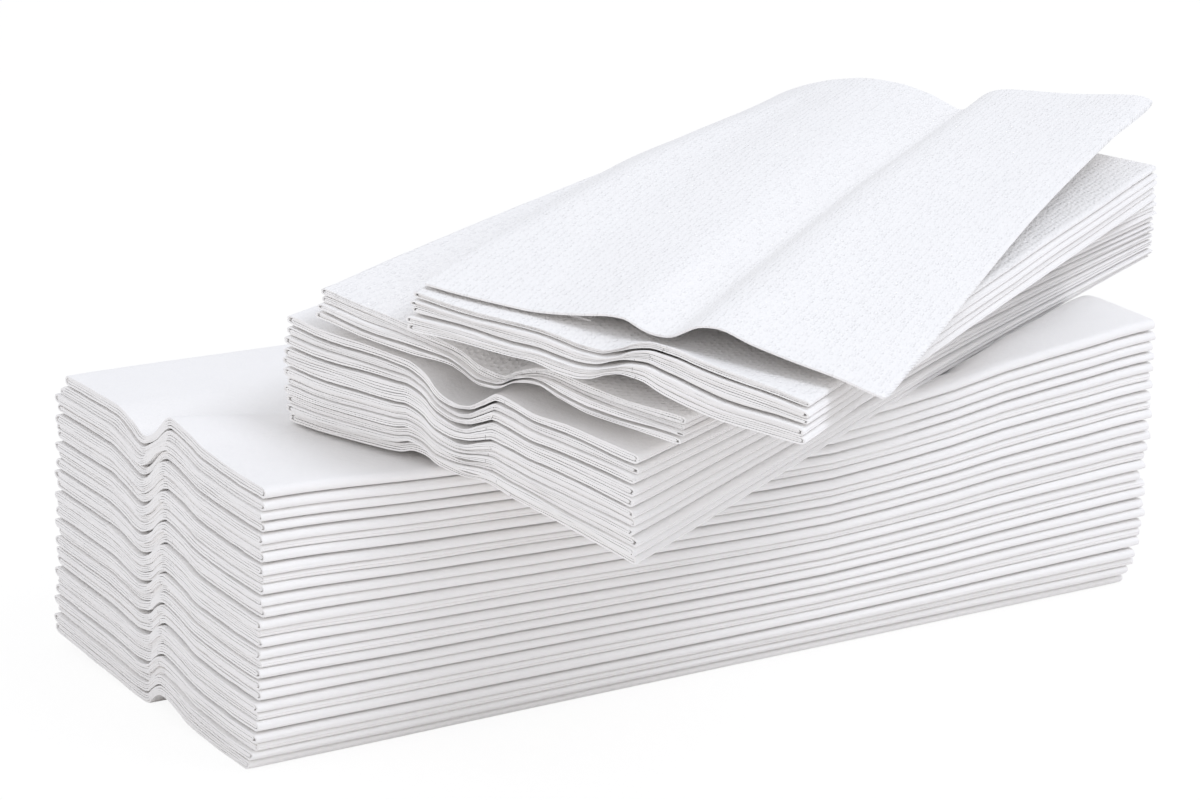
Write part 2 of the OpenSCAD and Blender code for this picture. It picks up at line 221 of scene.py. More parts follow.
# How far the front and the back folds stand to the front: share of the stack's height, distance
FRONT_LINE = [
    [0, -3.4], [0.05, -1.2], [0.1, 0.3], [0.17, 1.1], [0.38, 1.9], [0.66, 2.9], [0.9, 2.9], [1, 3],
]
BACK_LINE = [
    [0, 0.5], [0.04, -1.5], [0.1, -2.4], [0.25, -1.8], [0.5, -1.7], [0.7, -1.1], [0.91, -0.9],
    [0.96, 2.5], [1, 3],
]
# How far the towels reach at the right end, from the lowest towel to the top one: towel, distance
RIGHT_END = [
    [1, -0.4], [2, -0.9], [3.5, -0.1], [6.6, 1.0], [10, 0.6], [11.5, 0.2], [12.2, -1.6], [13.2, -0.4],
    [15, 0.3], [18, 0.1], [27, -0.3],
]
SCATTER = 0.45
GOLDEN_TURN = 137.5

# The middle of the lower stack in the frame, from the box of its middle towel
middle_low, middle_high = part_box("lower_towel_14")
CENTRE_X = (middle_low[0] + middle_high[0]) / 2 / MM
CENTRE_Y = (middle_low[1] + middle_high[1]) / 2 / MM
print("lower stack's middle, mm:", round(CENTRE_X, 2), round(CENTRE_Y, 2))


def lower_place(x, v, z):
    """Place in the frame of a point of the lower stack, in millimetres."""
    h = z / STACK
    u = v / WIDTH
    y = WIDTH / 2 - v - (1 - u) * smooth_curve(h, BACK_LINE) - u * smooth_curve(h, FRONT_LINE)
    return np.stack([x - LENGTH / 2 + CENTRE_X, y + CENTRE_Y, z], -1)


def uneven(k, turn):
    """A small distance that differs from towel to towel and has no visible rhythm."""
    return SCATTER * math.sin(math.radians(k * GOLDEN_TURN + turn))


# %% [markdown]
# ## The fan
# The upper towels lie askew in three groups. Their right front corners stay together while their left
# ends swing out. They could be dropped on the stack with a cloth or rigid body simulation, but then the
# waves at their cut ends would fall by chance. So each group is given by its turn, by that corner and by
# how thick it is at its four corners, and what it rests on sets its underside: first the lower stack,
# then the group under it.

# %% The three groups of the fan
GROUPS = ["upper", "middle", "top"]
COUNTS = [11, 4, 5]
YAW = [24.1, 26.5, 33.0]
FAN_CORNER = (172.5, 3.4)
# Thickness of each group, and air under it: back left, front left, front right and back right corner
BULK = [[26.6, 27.9, 9.6, 15.4], [7.2, 5.9, 5.4, 6.4], [8.4, 9.4, 9.6, 4.8]]
AIR = [[0.8, 0.7, 3.2, 3.2], [3.2, 5.8, 0.3, 0.3], [1.4, 2.8, 0.3, 0.3]]
# How far each group swells up at its back, and where its flaps' edges meet
BACK_SWELL = [3.0, 4.5, 3.0]
FLAPS_MEET = [58.0, 60.0, 58.0]
# Droop in front of the lower stack: how far, at what distance, and the power that it grows with
DROOP = 13.0
DROOP_REACH = 54.0
DROOP_POWER = 1.3
# Shares along the lowest towel where it is held, and how its straight runs between them are rounded
FAN_STATIONS = [0, 0.12, 0.56, 1]
FAN_NUDGES = (-0.06, -0.03, 0, 0.03, 0.06)
LEAST_AIR = 0.3
# How the swell at the back and the waves at the cut end change along a group: share along, factor
FAN_SWELL = [[0, 0], [0.12, 0.3], [0.56, 1], [1, 0]]
FAN_FADE = [[0, 1], [0.06, 0.66], [0.12, 0.35], [0.24, 0.1], [0.4, 0], [1, 0]]
QUICK_FADE = [[0, 1], [0.015, 0.75], [0.03, 0.36], [0.045, 0.12], [0.07, 0], [1, 0]]
# How far each group's underside and top stand off flat ones at the cut end: place across, height
UNDER_WAVES = [
    [[0, 0], [14, 0.2], [25, 0.6], [30, 1.0], [34, 2.2], [37, 1.9], [41, 0.3], [46, 0], [54, 0.9],
     [62, 0], [95, 0]],
    [[0, 0], [14, -1.0], [25, -0.9], [35, -0.2], [38, -1.0], [43, -2.6], [47, -2.2], [52, 0.8], [58, 2.1],
     [64, 0.7], [72, -0.5], [95, -0.4]],
    [[0, -0.3], [10, 0.4], [21, 0.5], [30, 0.9], [36, 0.1], [40, 0.0], [44, 0.9], [48, 2.9], [52, 4.0],
     [56, 3.8], [61, 2.2], [68, 0.8], [76, 0], [95, 0]],
]
TOP_WAVES = [
    [[0, -0.3], [8, -0.7], [23, 0.1], [33, 0.3], [38, -1.1], [42, -4.2], [47, -5.3], [50, -4.7], [54, -1.9],
     [58, 0.9], [62, 0.6], [68, -0.3], [77, 0.2], [95, -0.3]],
    [[0, -0.2], [10, -0.9], [22, -1.4], [30, -2.2], [37, -3.2], [43, -5.3], [48, -5.6], [52, -3.3],
     [57, -1.0], [62, -0.1], [68, -0.5], [78, -0.9], [95, 0]],
    [[0, -0.1], [8, -0.7], [16, -0.9], [24, -0.7], [30, -0.6], [35, -1.0], [40, -1.7], [45, -1.8],
     [49, -0.3], [54, 3.0], [58, 4.3], [63, 4.1], [68, 3.2], [76, 2.2], [86, 1.2], [95, 0]],
]
print("groups of the fan:", dict(zip(GROUPS, COUNTS)))

# %% [markdown]
# ## Where the fanned towels lie
# A fanned towel has its own two directions, along its folds and across them. These helpers turn a place
# on a towel into a place in the plan and back, which is what lets one group rest on another that is
# turned by a different angle. Parenting each group to an empty would turn it too, but then no group could
# read the height of the one under it.

# %% Plan of the fan


def directions(yaw):
    """Unit vectors along and across a towel that is turned by yaw degrees."""
    c = math.cos(math.radians(yaw))
    s = math.sin(math.radians(yaw))
    return (c, s), (s, -c)


def fan_place(yaw, s, v):
    """Plan place of a point at a share s along and v across a fanned towel."""
    a, b = directions(yaw)
    x = FAN_CORNER[0] - (1 - s) * LENGTH * a[0] - (WIDTH - v) * b[0]
    y = FAN_CORNER[1] - (1 - s) * LENGTH * a[1] - (WIDTH - v) * b[1]
    return x, y


def fan_shares(yaw, x, y):
    """Share along and distance across a fanned towel at a plan place."""
    a, b = directions(yaw)
    dx = x - FAN_CORNER[0]
    dy = y - FAN_CORNER[1]
    return 1 + (dx * a[0] + dy * a[1]) / LENGTH, WIDTH + dx * b[0] + dy * b[1]


def between(corners, s, u):
    """Value at a share s along and a share u across, from the values at the four corners."""
    left = (1 - u) * corners[0] + u * corners[1]
    right = u * corners[2] + (1 - u) * corners[3]
    return (1 - s) * left + s * right


print("left front corner of the upper group:", np.round(fan_place(YAW[0], 0, WIDTH), 1), "mm")

# %% [markdown]
# ## The groups' surfaces
# The lowest towels bridge the stack's hollow like a stiff board and droop where nothing is under them.
# Each group is thick and airy at its left end and pinched at its right one, and its cut end has waves
# that differ from those of the group under it, which opens the pockets between them. A lattice round each
# group could bend it so, but its cage is hard to match to a photo. Heights at corners and along one edge
# can be measured there and written down.

# %% Surfaces of the fan
def rest_height(x, y):
    """Height that the upper stack rests on: the lower stack's top, and the droop in front of it."""
    front = -WIDTH / 2 - LEAN / 2
    along = np.clip(x + LENGTH / 2, 0, LENGTH)
    v = np.clip(WIDTH / 2 - LEAN / 2 - y, 0, WIDTH)
    beyond = np.maximum(front - y, 0)
    return pressed_surface(along, v, 1) - DROOP * (beyond / DROOP_REACH) ** DROOP_POWER


def swell(g, s, v):
    """How far a group swells up at its back."""
    if g < 0:
        return 0
    return BACK_SWELL[g] * smooth_curve(s, FAN_SWELL) * (1 - np.clip(v / WIDTH, 0, 1))


def flat_top(g, x, y):
    """Height of a group's top at a place in the plan, without the waves at its cut end."""
    s, v = fan_shares(YAW[g], x, y)
    return between(TOPS[g], s, v / WIDTH) + swell(g, s, v)


UNDERS = []
TOPS = []
for g in range(len(GROUPS)):
    corners = [fan_place(YAW[g], s, v) for s, v in ((0, 0), (0, WIDTH), (1, WIDTH), (1, 0))]
    rest = [rest_height(*c) if g == 0 else flat_top(g - 1, *c) for c in corners]
    UNDERS.append([float(z) + air for z, air in zip(rest, AIR[g])])
    TOPS.append([z + bulk for z, bulk in zip(UNDERS[g], BULK[g])])
    print(GROUPS[g], "corner heights", np.round(UNDERS[g], 1), np.round(TOPS[g], 1))


def upper_underside(s, v):
    """Underside of the upper group: a stiff sheet over the lower stack, held at the stations."""
    held = [rest_height(*fan_place(YAW[0], t, v)) + between(AIR[0], t, v / WIDTH) for t in FAN_STATIONS]
    total = 0
    for nudge in FAN_NUDGES:
        t = np.clip(s + nudge, 0, 1)
        height = 0
        for i in range(3):
            low, high = FAN_STATIONS[i:i + 2]
            inside = (t >= low) & ((t < high) | (i == 2))
            f = (t - low) / (high - low)
            height = height + np.where(inside, (1 - f) * held[i] + f * held[i + 1], 0)
        total = total + height / len(FAN_NUDGES)
    return np.maximum(total, rest_height(*fan_place(YAW[0], s, v)) + LEAST_AIR)


def group_surface(g, s, v, h):
    """Height of the surface at a share h of a group."""
    u = np.clip(v / WIDTH, 0, 1)
    under = upper_underside(s, v) if g == 0 else between(UNDERS[g], s, u) + swell(g - 1, s, v)
    under = under + smooth_curve(s, QUICK_FADE if g == 0 else FAN_FADE) * smooth_curve(v, UNDER_WAVES[g])
    top = between(TOPS[g], s, u) + swell(g, s, v)
    top = top + smooth_curve(s, QUICK_FADE if g == 2 else FAN_FADE) * smooth_curve(v, TOP_WAVES[g])
    return (1 - h) * under + h * top


# %% [markdown]
# ## A folded towel
# One towel is two soft plies, one inside the other. A box with bevelled edges would do from afar, but the
# cut ends show the layers, so each ply is a path: from the front flap's free edge round the front fold,
# over the panel, round the back fold and under to the back flap's free edge. The outer ply goes round the
# folds in a wide loop and the inner one turns short of it, which leaves the little round openings that
# show at the cut ends.

# %% The folded path
# How far the outer and the inner ply bulge out in a fold, and how far further in the inner one turns
FOLD_REACH = 1.0
INNER_REACH = 0.4
INNER_SET_BACK = 0.1
# Reach of the crease along the middle of a sharp fold, in radians of its turn
CREASE_WIDTH = 0.2
FLAP_END_ROOM = 0.6
FOLD_TURN = np.radians([-90, -70, -50, -34, -20, -11, -5, 0, 5, 11, 20, 34, 50, 70, 90])
PANEL_PLACES = np.concatenate([
    np.linspace(92, 76, 5), np.linspace(73, 62, 7), np.linspace(60, 24, 27), np.linspace(20, 3.4, 5)
])


def folded_path(level, meet, towel):
    """Places across and share heights of one ply, from the front flap's free edge to the back one."""
    outer = level == OUTER_LEVEL
    start = FOLD_REACH if outer else FOLD_REACH + INNER_SET_BACK + towel["loop"]
    reach = FOLD_REACH + towel["proud"] if outer else INNER_REACH
    loop = reach * np.cos(FOLD_TURN) - towel["notch"] * outer * near(FOLD_TURN, CREASE_WIDTH)
    turn = level * np.sin(FOLD_TURN)
    flap_places = PANEL_PLACES[::-1]
    front_flap = flap_places[flap_places > meet + FLAP_END_ROOM]
    back_flap = flap_places[flap_places < meet - FLAP_GAP - FLAP_END_ROOM]
    v = np.concatenate([
        [meet], front_flap, WIDTH - start + loop, PANEL_PLACES, (start - loop)[::-1], back_flap,
        [meet - FLAP_GAP],
    ])
    share = np.concatenate([
        np.full(len(front_flap) + 1, 0.5 - level), 0.5 + turn, np.full(len(PANEL_PLACES), 0.5 + level),
        0.5 + turn[::-1], np.full(len(back_flap) + 1, 0.5 - level),
    ])
    return v, share


def flat_places(v, share):
    """Distance along the flat sheet of each point of a path."""
    steps = np.hypot(np.diff(v), np.diff(share) * PITCH)
    return np.concatenate([[0], np.cumsum(steps)])


plain_towel = {"loop": 0.0, "proud": 0.0, "notch": 0.0}
plain_path = folded_path(OUTER_LEVEL, BUMP_AT, plain_towel)
print("outer ply, unfolded:", round(float(flat_places(*plain_path)[-1]), 1), "mm wide")

# %% [markdown]
# ## From a grid to a sheet
# Paper starts flat. It could be folded with the cloth simulation, which is slow and hard to steer for
# dozens of towels. A flat grid already has the right topology for a sheet: rows across the folds, columns
# along them. So each ply starts as Blender's grid primitive, its points are moved onto the path, its UV
# map is set to the flat sheet in decimetres, and a Solidify modifier gives the paper its thickness. Where
# a pile is pinched, a vertex group makes the paper thinner.

# %% The sheet maker
OUTER_STATIONS = np.array([
    0, 0.8, 2, 4, 7, 11, 16, 22, 29, 37, 46, 58, 72, 88, 105, 122, 140, 158, 176, 194, 210, 224, 236,
    246, 252, 255.6, 257,
])
INNER_STATIONS = np.array([0, 1.5, 4, 9, 18, 32, 50, 90, 150, 200, 235, 250, 255, 257.0])
FLAT_SCALE = 0.01
SQUEEZE_STEPS = 20
SHARP_ANGLE = 50


def deselect():
    """Leave nothing selected, so that an operator acts on its own piece only."""
    for other in bpy.context.selected_objects:
        other.select_set(False)


def sheet_from_grid(name, points, flat, thickness, pressed=None):
    """A sheet through points[row][column] in millimetres, with flat[row][column] as its UV map.

    pressed[row][column] is the share of the thickness that is left where the sheet is squeezed.
    """
    rows, columns = points.shape[:2]
    deselect()
    bpy.ops.mesh.primitive_grid_add(x_subdivisions=columns - 1, y_subdivisions=rows - 1, size=1)
    sheet = bpy.context.object
    sheet.name = name
    mesh = sheet.data
    place = np.empty(len(mesh.vertices) * 3, np.float32)
    mesh.vertices.foreach_get("co", place)
    place = place.reshape(-1, 3)
    column = np.rint((place[:, 0] + 0.5) * (columns - 1)).astype(int)
    row = np.rint((place[:, 1] + 0.5) * (rows - 1)).astype(int)
    mesh.vertices.foreach_set("co", (points[row, column] * MM).astype(np.float32).ravel())
    corner = np.empty(len(mesh.loops), np.int32)
    mesh.loops.foreach_get("vertex_index", corner)
    uv = (flat[row[corner], column[corner]] * FLAT_SCALE).astype(np.float32)
    mesh.uv_layers.active.data.foreach_set("uv", uv.ravel())
    mesh.update()
    wall = sheet.modifiers.new("Thickness", "SOLIDIFY")
    wall.thickness = thickness * MM
    wall.offset = 0
    if pressed is not None:
        squeezed = sheet.vertex_groups.new(name="squeezed")
        shares = np.round(pressed[row, column] * SQUEEZE_STEPS) / SQUEEZE_STEPS
        for share in np.unique(shares):
            squeezed.add(np.flatnonzero(shares == share).tolist(), float(share), "REPLACE")
        wall.vertex_group = squeezed.name
    bpy.ops.object.modifier_apply(modifier=wall.name)
    sheet.vertex_groups.clear()
    return sheet


def join(pieces, name):
    """One object from several, smooth apart from its sharp rims."""
    deselect()
    for piece in pieces:
        piece.select_set(True)
    bpy.context.view_layer.objects.active = pieces[0]
    if len(pieces) > 1:
        bpy.ops.object.join()
    whole = bpy.context.object
    whole.name = name
    bpy.ops.object.shade_smooth_by_angle(angle=math.radians(SHARP_ANGLE))
    return whole


print("stations along a ply: outer", len(OUTER_STATIONS), "and inner", len(INNER_STATIONS))

# %% [markdown]
# ## One towel between two surfaces
# A towel could be modelled once and copied, but a pile of equal copies looks like a machined block, and
# copies would cut into each other where the pile bends. So each towel fills the room between the surface
# under it and the surface over it. Neighbours share a surface with the same wander, so they nest without
# touching. At the cut ends the edges are ragged and flutter a little.

# %% The towel maker
# How far in from a cut end its offset, its flutter and its thinned rim reach
END_REACH = 25.0
FLUTTER_REACH = 9
RIM_REACH = 0.7
# How much thinner a ply is at its rims, and the least share of it that is left where a pile is pinched
RIM_SQUEEZE = 0.18
THINNEST = 0.2
# The ragged edge has slow waves and short teeth
RAGGED_WAVE = 0.14
RAGGED_TEETH = 0.08
FOLD_WANDER = 0.18
# Both sides of a ply read one random curve, so the panel's side reads it further on
PANEL_SHIFT = 200
FLUTTER_SHIFT = 150


def ply_points(towel, level, stations, seed):
    """Points, flat places and squeezed shares of one ply of a towel."""
    v, share = folded_path(level, towel["meet"], towel)
    x = np.tile(stations, (len(v), 1))
    across = np.tile(v[:, None], (1, len(stations)))
    height = np.tile(share[:, None], (1, len(stations)))
    is_panel = height > 0.5
    at_left = np.clip(1 - x / END_REACH, 0, 1)
    at_right = np.clip(1 - (LENGTH - x) / END_REACH, 0, 1)
    flap_out, panel_out = towel["ragged"] * np.random.default_rng(seed).uniform(-1, 1, 2)
    ragged = flap_out + (panel_out - flap_out) * height
    ragged = ragged + RAGGED_WAVE * wander(across + PANEL_SHIFT * is_panel, 6, seed)
    ragged = ragged + RAGGED_TEETH * wander(across, 2.3, seed + 1)
    x = x + at_left * (towel["left"] + ragged) + at_right * (towel["right"] + ragged)
    loose = near(x, FLUTTER_REACH) + near(LENGTH - x, FLUTTER_REACH)
    height = height + towel["flutter"] * loose * wander(across + FLUTTER_SHIFT * is_panel, 11, seed + 2)
    across = across + towel["slide"] + FOLD_WANDER * wander(x, 34, seed + 3)
    low = towel["floor"](x, across)
    high = towel["ceiling"](x, across)
    z = low + height * (high - low)
    flat = np.stack([x, np.tile(flat_places(v, share)[:, None], (1, len(stations)))], -1)
    rims = near(stations, RIM_REACH) + near(LENGTH - stations, RIM_REACH)
    pressed = np.clip((high - low) / PITCH, THINNEST, 1) * (1 - RIM_SQUEEZE * rims)
    return towel["place"](x, across, z), flat, pressed


def towel_piece(node, towel):
    """The two plies of a folded towel as one piece, which stands for its CAD node."""
    plies = []
    for level, stations in ((OUTER_LEVEL, OUTER_STATIONS), (INNER_LEVEL, INNER_STATIONS)):
        points, flat, pressed = ply_points(towel, level, stations, towel["seed"] + int(100 * level))
        plies.append(sheet_from_grid(node + "_ply", points, flat, PLY, pressed))
    piece = join(plies, node + "_paper")
    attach(piece, "root")
    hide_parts(node)
    return piece


print("each towel has two plies of", PLY, "mm")

# %% [markdown]
# ## Bundles
# A pile of towels is not even: where it was pressed together, a few towels cling to each other, and
# between such bundles a dark groove stays open. The grooves could be painted on as dark lines, but then
# they wouldn't shade or catch light, so they are real: each pile gets a plan of how thick its towels are,
# how their folds are formed and how much room is left over each. The room opens near the folds and the
# cut ends, where nothing presses it shut, and in a slot at the bend.

# %% Plan of a pile
# How far in the room reaches from the cut ends and from the folds, and how much of it opens at the folds
FREE_REACH = 6
FOLD_ROOM_REACH = 3
FOLD_SHARE = 0.8
# The slot at the bend: how much room it adds, how far behind the flaps' edges it lies, and its reach
SLOT_SHARE = 0.9
SLOT_AT = 9
SLOT_REACH = 2.6


def stack_plan(bundles, airy, seed):
    """Share heights, rooms between towels and fold forms of a stack that lies in bundles.

    The outer towels of a bundle are thick, with broad folds. Those inside it are thin, with a crease
    in their fold. The room is wide between bundles and narrow inside them.
    """
    random = np.random.default_rng(seed)
    thickness = []
    rooms = [0]
    forms = []
    for bundle in bundles:
        for i in range(bundle):
            outer = i in (0, bundle - 1)
            thickness.append(random.uniform(1.0, 1.12) if outer else random.uniform(0.76, 0.88))
            forms.append({
                "proud": random.uniform(0.1, 0.5) if outer else random.uniform(-0.3, 0.1),
                "notch": random.uniform(0, 0.15) if outer else random.uniform(0.4, 0.7),
                "loop": random.uniform(0, 0.25) if outer else random.uniform(0, 0.05),
            })
            last = i == bundle - 1
            rooms.append(airy * (random.uniform(0.35, 0.6) if last else random.uniform(0, 0.09)))
    rooms[-1] = 0
    shares = np.concatenate([[0], np.cumsum(thickness)]) / sum(thickness)
    return shares, rooms, forms


def edge_room(x, v, meet):
    """Where the room between two towels opens: near cut ends and folds, and in a slot at the bend."""
    left = near(x, FREE_REACH)
    right = near(LENGTH - x, FREE_REACH)
    folds = np.maximum(near(v, FOLD_ROOM_REACH), near(WIDTH - v, FOLD_ROOM_REACH))
    slot = SLOT_SHARE * np.maximum(left, right) * near(v - meet + SLOT_AT, SLOT_REACH)
    return np.maximum(np.maximum(left, right), FOLD_SHARE * folds) + slot


def floor_over(surface, room, meet):
    """The lowest that a towel may reach over the surface under it."""
    return lambda x, v: surface(x, v) + SKIN + room / 2 * edge_room(x, v, meet)


def ceiling_under(surface, room, meet):
    """The highest that a towel may reach under the surface over it."""
    return lambda x, v: surface(x, v) - SKIN - room / 2 * edge_room(x, v, meet)


lower_shares, lower_rooms, lower_forms = stack_plan(LOWER_BUNDLES, 1.0, 11)
print("widest groove of the lower stack:", round(max(lower_rooms), 2), "mm")

# %% [markdown]
# ## The lower stack
# The 27 pressed towels share surfaces that lean to the front, sag under the weight on them and keep the
# bend at the cut end. An Array modifier could repeat one towel, but then none could differ. A loop makes
# them one by one, and each surface between two towels has its own slight wander.

# %% Lower towels
# How far a surface between two towels wanders along and across, and where the flaps' edges may meet
DRIFT_ALONG = 0.13
DRIFT_ACROSS = 0.07
MEET_SPREAD = 3
random = np.random.default_rng(5)


def lower_between(k):
    """The surface between towel k and towel k + 1."""
    def height(x, v):
        drift = DRIFT_ALONG * wander(x, 41, 900 + k) + DRIFT_ACROSS * wander(v, 17, 940 + k)
        return lower_surface(x, v, lower_shares[k]) + (drift if 0 < k < LOWER_COUNT else 0)
    return height


papers = []
for k in range(1, LOWER_COUNT + 1):
    towel = {
        **lower_forms[k - 1],
        "floor": floor_over(lower_between(k - 1), lower_rooms[k - 1], BUMP_AT),
        "ceiling": ceiling_under(lower_between(k), lower_rooms[k], BUMP_AT),
        "place": lower_place,
        "meet": BUMP_AT + random.uniform(-MEET_SPREAD, MEET_SPREAD),
        "left": uneven(k, 40),
        "right": uneven(k, 80) + float(smooth_curve(k, RIGHT_END)),
        "ragged": 0.25,
        "slide": 0.0,
        "flutter": 0.015,
        "seed": 1000 + 10 * k,
    }
    papers.append(towel_piece(f"lower_towel_{k:02d}", towel))
print("lower towels:", len(papers), "triangles in one:", 2 * len(papers[-1].data.polygons))

# %% [markdown]
# ## The fanned towels
# The upper groups are looser: more air, more flutter at the cut ends, and towels that slid a little over
# each other. They could be copies of the lower ones, turned by hand. The same maker takes other surfaces
# instead, so their plies thin out by themselves where the fan is pinched.

# %% Fanned towels
EMBOSSED = ("middle_towel_04", "top_towel_05")
FAN_BUNDLES = [[1, 2, 3, 2, 2, 1], [1, 3], [2, 2, 1]]
FAN_AIRY = 1.35
# How far a surface between two towels wanders, how much more at the loose end, and how far that reaches
FAN_DRIFT = 0.1
LOOSE_DRIFT = 0.25
LOOSE_RUN = 30
FAN_MEET_SPREAD = 4
# How far the left cut ends are set back, from the lowest towel of a group up: towel, distance
FAN_ENDS = [
    [[1, 1.8], [2, -0.5], [4, -1.8], [6, -2.1], [8, -1.8], [10, -1.1], [11, -0.9]],
    [[1, -0.5], [3, -0.3], [4, 1.6]],
    [[1, 0.5], [2, 0.8], [3, 1.2], [4, 2.0], [5, 2.7]],
]


def fan_between(g, k, shares):
    """The surface between towel k and towel k + 1 of a group."""
    def height(x, v):
        loose = np.exp(-np.maximum(x, 0) / LOOSE_RUN)
        drift = (FAN_DRIFT + LOOSE_DRIFT * loose) * wander(v, 13, 2000 + 40 * g + k)
        drift = drift + FAN_DRIFT * wander(x, 30, 2200 + 40 * g + k)
        return group_surface(g, x / LENGTH, v, shares[k]) + (drift if 0 < shares[k] < 1 else 0)
    return height


def fan_towel_place(g):
    """The function that places the points of a group's towels in the frame."""
    def place(x, v, z):
        px, py = fan_place(YAW[g], x / LENGTH, v)
        return np.stack([px + CENTRE_X, py + CENTRE_Y, z], -1)
    return place


for g, group in enumerate(GROUPS):
    shares, rooms, forms = stack_plan(FAN_BUNDLES[g], FAN_AIRY, 31 + g)
    for k in range(1, COUNTS[g] + 1):
        node = f"{group}_towel_{k:02d}"
        meet = FLAPS_MEET[g]
        towel = {
            **forms[k - 1],
            "floor": floor_over(fan_between(g, k - 1, shares), rooms[k - 1], meet),
            "ceiling": ceiling_under(fan_between(g, k, shares), rooms[k], meet),
            "place": fan_towel_place(g),
            "meet": meet + random.uniform(-FAN_MEET_SPREAD, FAN_MEET_SPREAD),
            # Every loose towel has a crease in its folds, also at the outside of a bundle
            "notch": random.uniform(0.3, 0.6),
            "left": uneven(k, 40 + g) + random.uniform(-0.6, 0.6) + float(smooth_curve(k, FAN_ENDS[g])),
            "right": -SCATTER - uneven(k, 80 + g) - random.uniform(0, 0.6),
            "ragged": 0.35,
            "slide": random.uniform(-0.9, 0.1),
            "flutter": 0.025,
            "seed": 3000 + 1000 * g + 10 * k,
        }
        papers.append(towel_piece(node, towel))
print("towels so far:", len(papers))

# %% [markdown]
# ## The open towel's form
# The top towel has slid open: its back flap still lies under it, its panel rises over the pile in two soft
# humps with a crease between them, and its front edge stands off at the right. Cloth dropped on the pile
# would fold as it likes, so the heights of its two ends are curves, measured against the photo, and the
# panel runs straight from one end to the other, as stiff paper does. It never goes lower than the pile.

# %% Heights of the open towel
# Turn of the open towel, and how far its back left corner lies from that of the group under it
OPEN_YAW = 38.0
OPEN_OFFSET = (5.0, 3.0)
OPEN_WIDTH = 111.0
OPEN_SHEET = 0.5
# Width of the panel in the plan, from its left end to its right one: share along, width
OPEN_LINE = [[0, 107.6], [0.5, 106.4], [0.85, 108.6], [1, 110.8]]
OPEN_CREASE = 58.0
# Air under the panel, over its own back flap and past it, then under that flap, and over the front flap
OPEN_BACK_ROOM = 1.1
OPEN_ROOM = 0.55
OPEN_FLAP_AIR = 0.1
OPEN_FRONT_GAP = 0.06
# How far the flaps' ends are set back under the panel, as a share of the length
FLAP_TUCK = 0.022
# Droop of the back fold behind the group under it: how far, and at what distance
BACK_DROOP = 11.0
BACK_DROOP_REACH = 20.0
OPEN_BACK_FLAP = 38.0
OPEN_FRONT_FLAP = 30.0
# Height of the panel along its left and its right end: distance from the back fold, height
END_HEIGHTS = [
    [[0, 112.6], [8, 111.2], [17, 110.2], [28, 109.8], [38, 110.4], [44, 111.0], [47.5, 110.8],
     [51, 109.0], [55, 107.8], [58, 107.7], [61, 109.1], [65, 111.0], [68.5, 111.2], [77, 108.4],
     [86, 105.9], [97, 103.2], [107.6, 99.8], [111, 99.0]],
    [[0, 92.6], [8, 97.7], [16, 101.2], [25, 103.6], [33, 104.6], [41, 104.1], [50, 102.0], [54.5, 100.1],
     [59, 98.5], [62.3, 101.3], [65.2, 103.8], [68.4, 105.2], [73, 105.8], [87, 106.2], [94.7, 106.8],
     [102.4, 107.6], [107.8, 107.8], [111, 106.7]],
]
corner_x, corner_y = fan_place(YAW[2], 0, 0)


def open_across(s, v):
    """Distance in the plan from the back fold: the part past the crease is narrower in the middle."""
    narrow = (smooth_curve(s, OPEN_LINE) - OPEN_CREASE) / (OPEN_WIDTH - OPEN_CREASE)
    return np.where(v < OPEN_CREASE, v, OPEN_CREASE + (v - OPEN_CREASE) * narrow)


def open_place(s, v):
    """Plan place of a point at a share s along and v across the open towel."""
    a, b = directions(OPEN_YAW)
    x = corner_x + OPEN_OFFSET[0] + s * LENGTH * a[0] + v * b[0]
    y = corner_y + OPEN_OFFSET[1] + s * LENGTH * a[1] + v * b[1]
    return x, y


def back_sag(x, y):
    """How far the open towel hangs down behind the pile."""
    beyond = np.maximum(-fan_shares(YAW[2], x, y)[1], 0)
    return BACK_DROOP * (beyond / BACK_DROOP_REACH) ** DROOP_POWER


def rise(end, v):
    """Height of the panel over the flat top of the group, at one end."""
    x, y = open_place(end, v)
    return smooth_curve(v, END_HEIGHTS[end]) - flat_top(2, x, y) + back_sag(x, y)


def top_under_sheet(s, v):
    """Height of what lies under the open towel, at the same place in the plan."""
    x, y = open_place(s, v)
    t, w = fan_shares(YAW[2], x, y)
    t = np.clip(t, 0, 1)
    w = np.clip(w, 0, WIDTH)
    return flat_top(2, x, y) + smooth_curve(t, QUICK_FADE) * smooth_curve(w, TOP_WAVES[2]) - back_sag(x, y)


def panel_height(s, v):
    """Height of the open towel's panel, softened across its crease."""
    x, y = open_place(s, v)
    soft = sum((1 - s) * rise(0, v + d) + s * rise(1, v + d) for d in (-1, 0, 1)) / 3
    room = np.where(v < OPEN_BACK_FLAP, OPEN_BACK_ROOM, OPEN_ROOM)
    return np.maximum(flat_top(2, x, y) + soft - back_sag(x, y), top_under_sheet(s, v) + room)


print("panel's left front corner:", round(float(panel_height(0.0, OPEN_LINE[0][1])), 1), "mm high")

# %% [markdown]
# ## The open towel's sheet
# It is one sheet from flap to flap, so it is one path again: back flap, back fold, panel, front fold,
# front flap. Three separate sheets would be easier to place, but their edges would show as cracks. Two
# blends, which go from 0 to 1 round each fold, join the three heights. The flaps' ends are set back a
# little under the panel, as they are when a fold isn't quite square.

